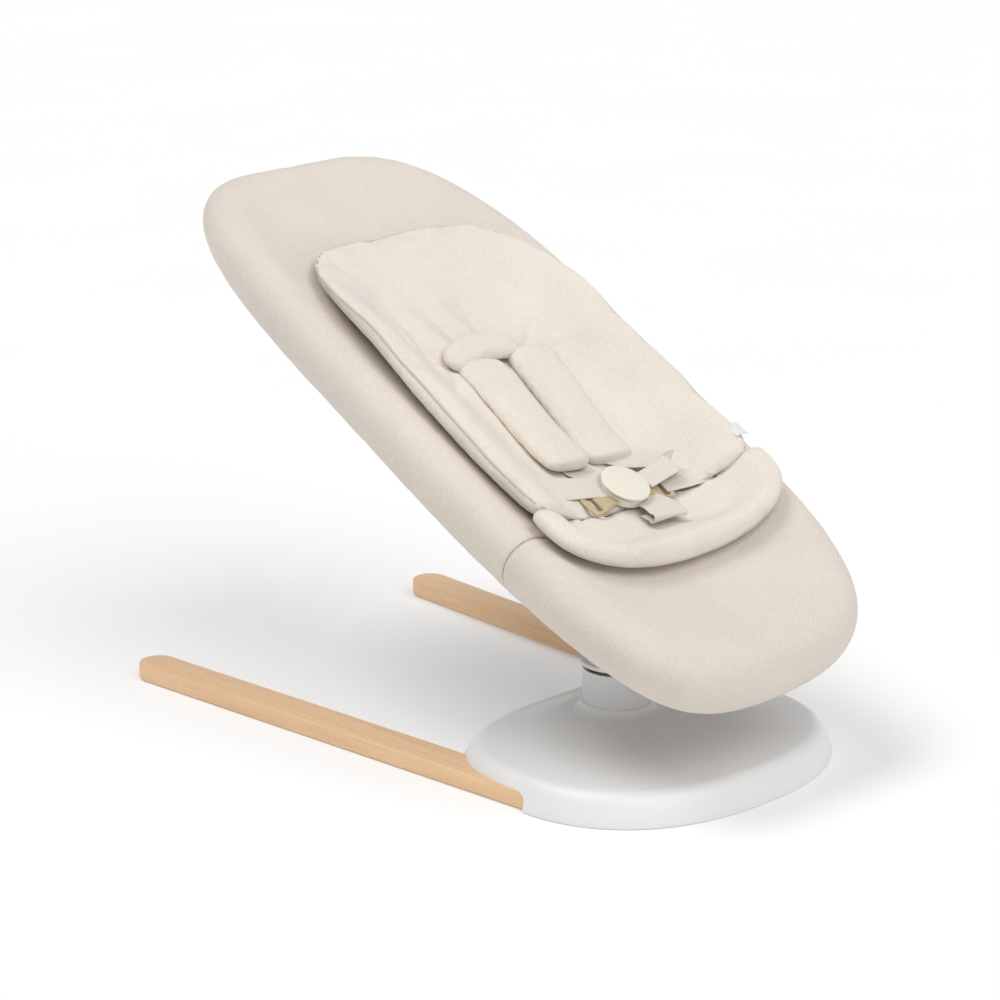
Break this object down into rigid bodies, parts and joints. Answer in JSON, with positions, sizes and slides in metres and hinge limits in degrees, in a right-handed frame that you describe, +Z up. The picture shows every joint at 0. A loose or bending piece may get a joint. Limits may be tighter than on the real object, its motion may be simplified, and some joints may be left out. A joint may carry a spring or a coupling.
{
  "type": "baby bouncer seat",
  "caption": "Padded baby lounger on a sprung, tilting neck over a flat white base with two wooden legs; harness with round buckle.",
  "frame": {"origin": "on the floor, below the middle of the bounding box", "axes": "+Z up, +Y towards the head end, +X towards the child's left"},
  "size_m": [0.4566, 0.7582, 0.5471],
  "materials": {
    "white_plastic": "satin white moulded plastic",
    "dark_plastic": "fine-textured dark grey plastic",
    "ballast_steel": "black-coated steel plate",
    "foot_rubber": "soft grey rubber",
    "screw_steel": "zinc-plated steel",
    "beech": "clear-lacquered beech with fine straight grain",
    "painted_steel": "light grey powder coat",
    "axle_steel": "ground steel",
    "spring_steel": "oiled spring steel",
    "cast_aluminium": "light grey cast aluminium",
    "bush_plastic": "acetal",
    "brass_disc": "bronze friction disc",
    "shell_plastic": "light grey moulded plastic",
    "foam": "soft foam",
    "cover_fabric": "beige heathered knit, fine rib",
    "cover_fabric_foot": "beige heathered knit, fine diagonal rib",
    "insert_fabric": "cream padded knit",
    "harness_pad_fabric": "cream padded knit",
    "webbing": "light grey-cream woven webbing",
    "buckle_plastic": "cream moulded plastic",
    "tongue_plastic": "cream plastic",
    "button_plastic": "cream moulded plastic",
    "tag_fabric": "blank white label ribbon"
  },
  "bodies": {
    "base": {"base_cover": "white_plastic", "base_pan": "dark_plastic", "ballast_plate": "ballast_steel", "base_feet": "foot_rubber", "base_screws": "screw_steel", "leg_left": "beech", "leg_right": "beech", "leg_pads": "foot_rubber", "leg_screws": "screw_steel", "neck_column": "painted_steel", "column_bolts": "screw_steel", "neck_sleeve": "white_plastic", "bounce_axle": "axle_steel", "axle_clips": "axle_steel", "bounce_springs": "spring_steel"},
    "carrier": {"carrier": "cast_aluminium", "bounce_bushes": "bush_plastic", "recline_axle": "axle_steel", "axle_nut": "axle_steel", "friction_discs": "brass_disc"},
    "seat": {"hub_bracket": "painted_steel", "hub_screws": "screw_steel", "seat_shell": "shell_plastic", "seat_deck": "shell_plastic", "seat_foam": "foam", "cover_upper": "cover_fabric", "cover_lower": "cover_fabric_foot", "insert_back": "insert_fabric", "insert_seat": "insert_fabric", "yoke_pad": "harness_pad_fabric", "shoulder_pad_left": "harness_pad_fabric", "shoulder_pad_right": "harness_pad_fabric", "shoulder_strap_left": "webbing", "shoulder_strap_right": "webbing", "waist_strap_left": "webbing", "waist_strap_right": "webbing", "crotch_strap": "webbing", "buckle_body": "buckle_plastic", "buckle_tongues": "tongue_plastic", "tag": "tag_fabric"},
    "recline_lever": {"recline_lever": "dark_plastic"},
    "buckle_button": {"buckle_button": "button_plastic"}
  },
  "joints": [
    {"name": "bounce", "type": "hinge", "parent": "base", "child": "carrier", "pos_m": [0, -0.15356, 0.078], "axis": [1, 0, 0], "range_deg": [-4, 4], "stiffness_Nm_per_rad": 180, "springref_deg": 1.72, "deforming": ["bounce_springs"]},
    {"name": "recline", "type": "hinge", "parent": "carrier", "child": "seat", "pos_m": [0, -0.15356, 0.14626], "axis": [1, 0, 0], "range_deg": [0, 10]},
    {"name": "recline_lever_turn", "type": "hinge", "parent": "seat", "child": "recline_lever", "pos_m": [0, -0.15356, 0.14626], "axis": [1, 0, 0], "range_deg": [-60, 0]},
    {"name": "buckle_button_press", "type": "slide", "parent": "seat", "child": "buckle_button", "axis": [-0.0214, 0.4582, -0.8886], "range_m": [0, 0.0025], "stiffness_N_per_m": 800}
  ]
}
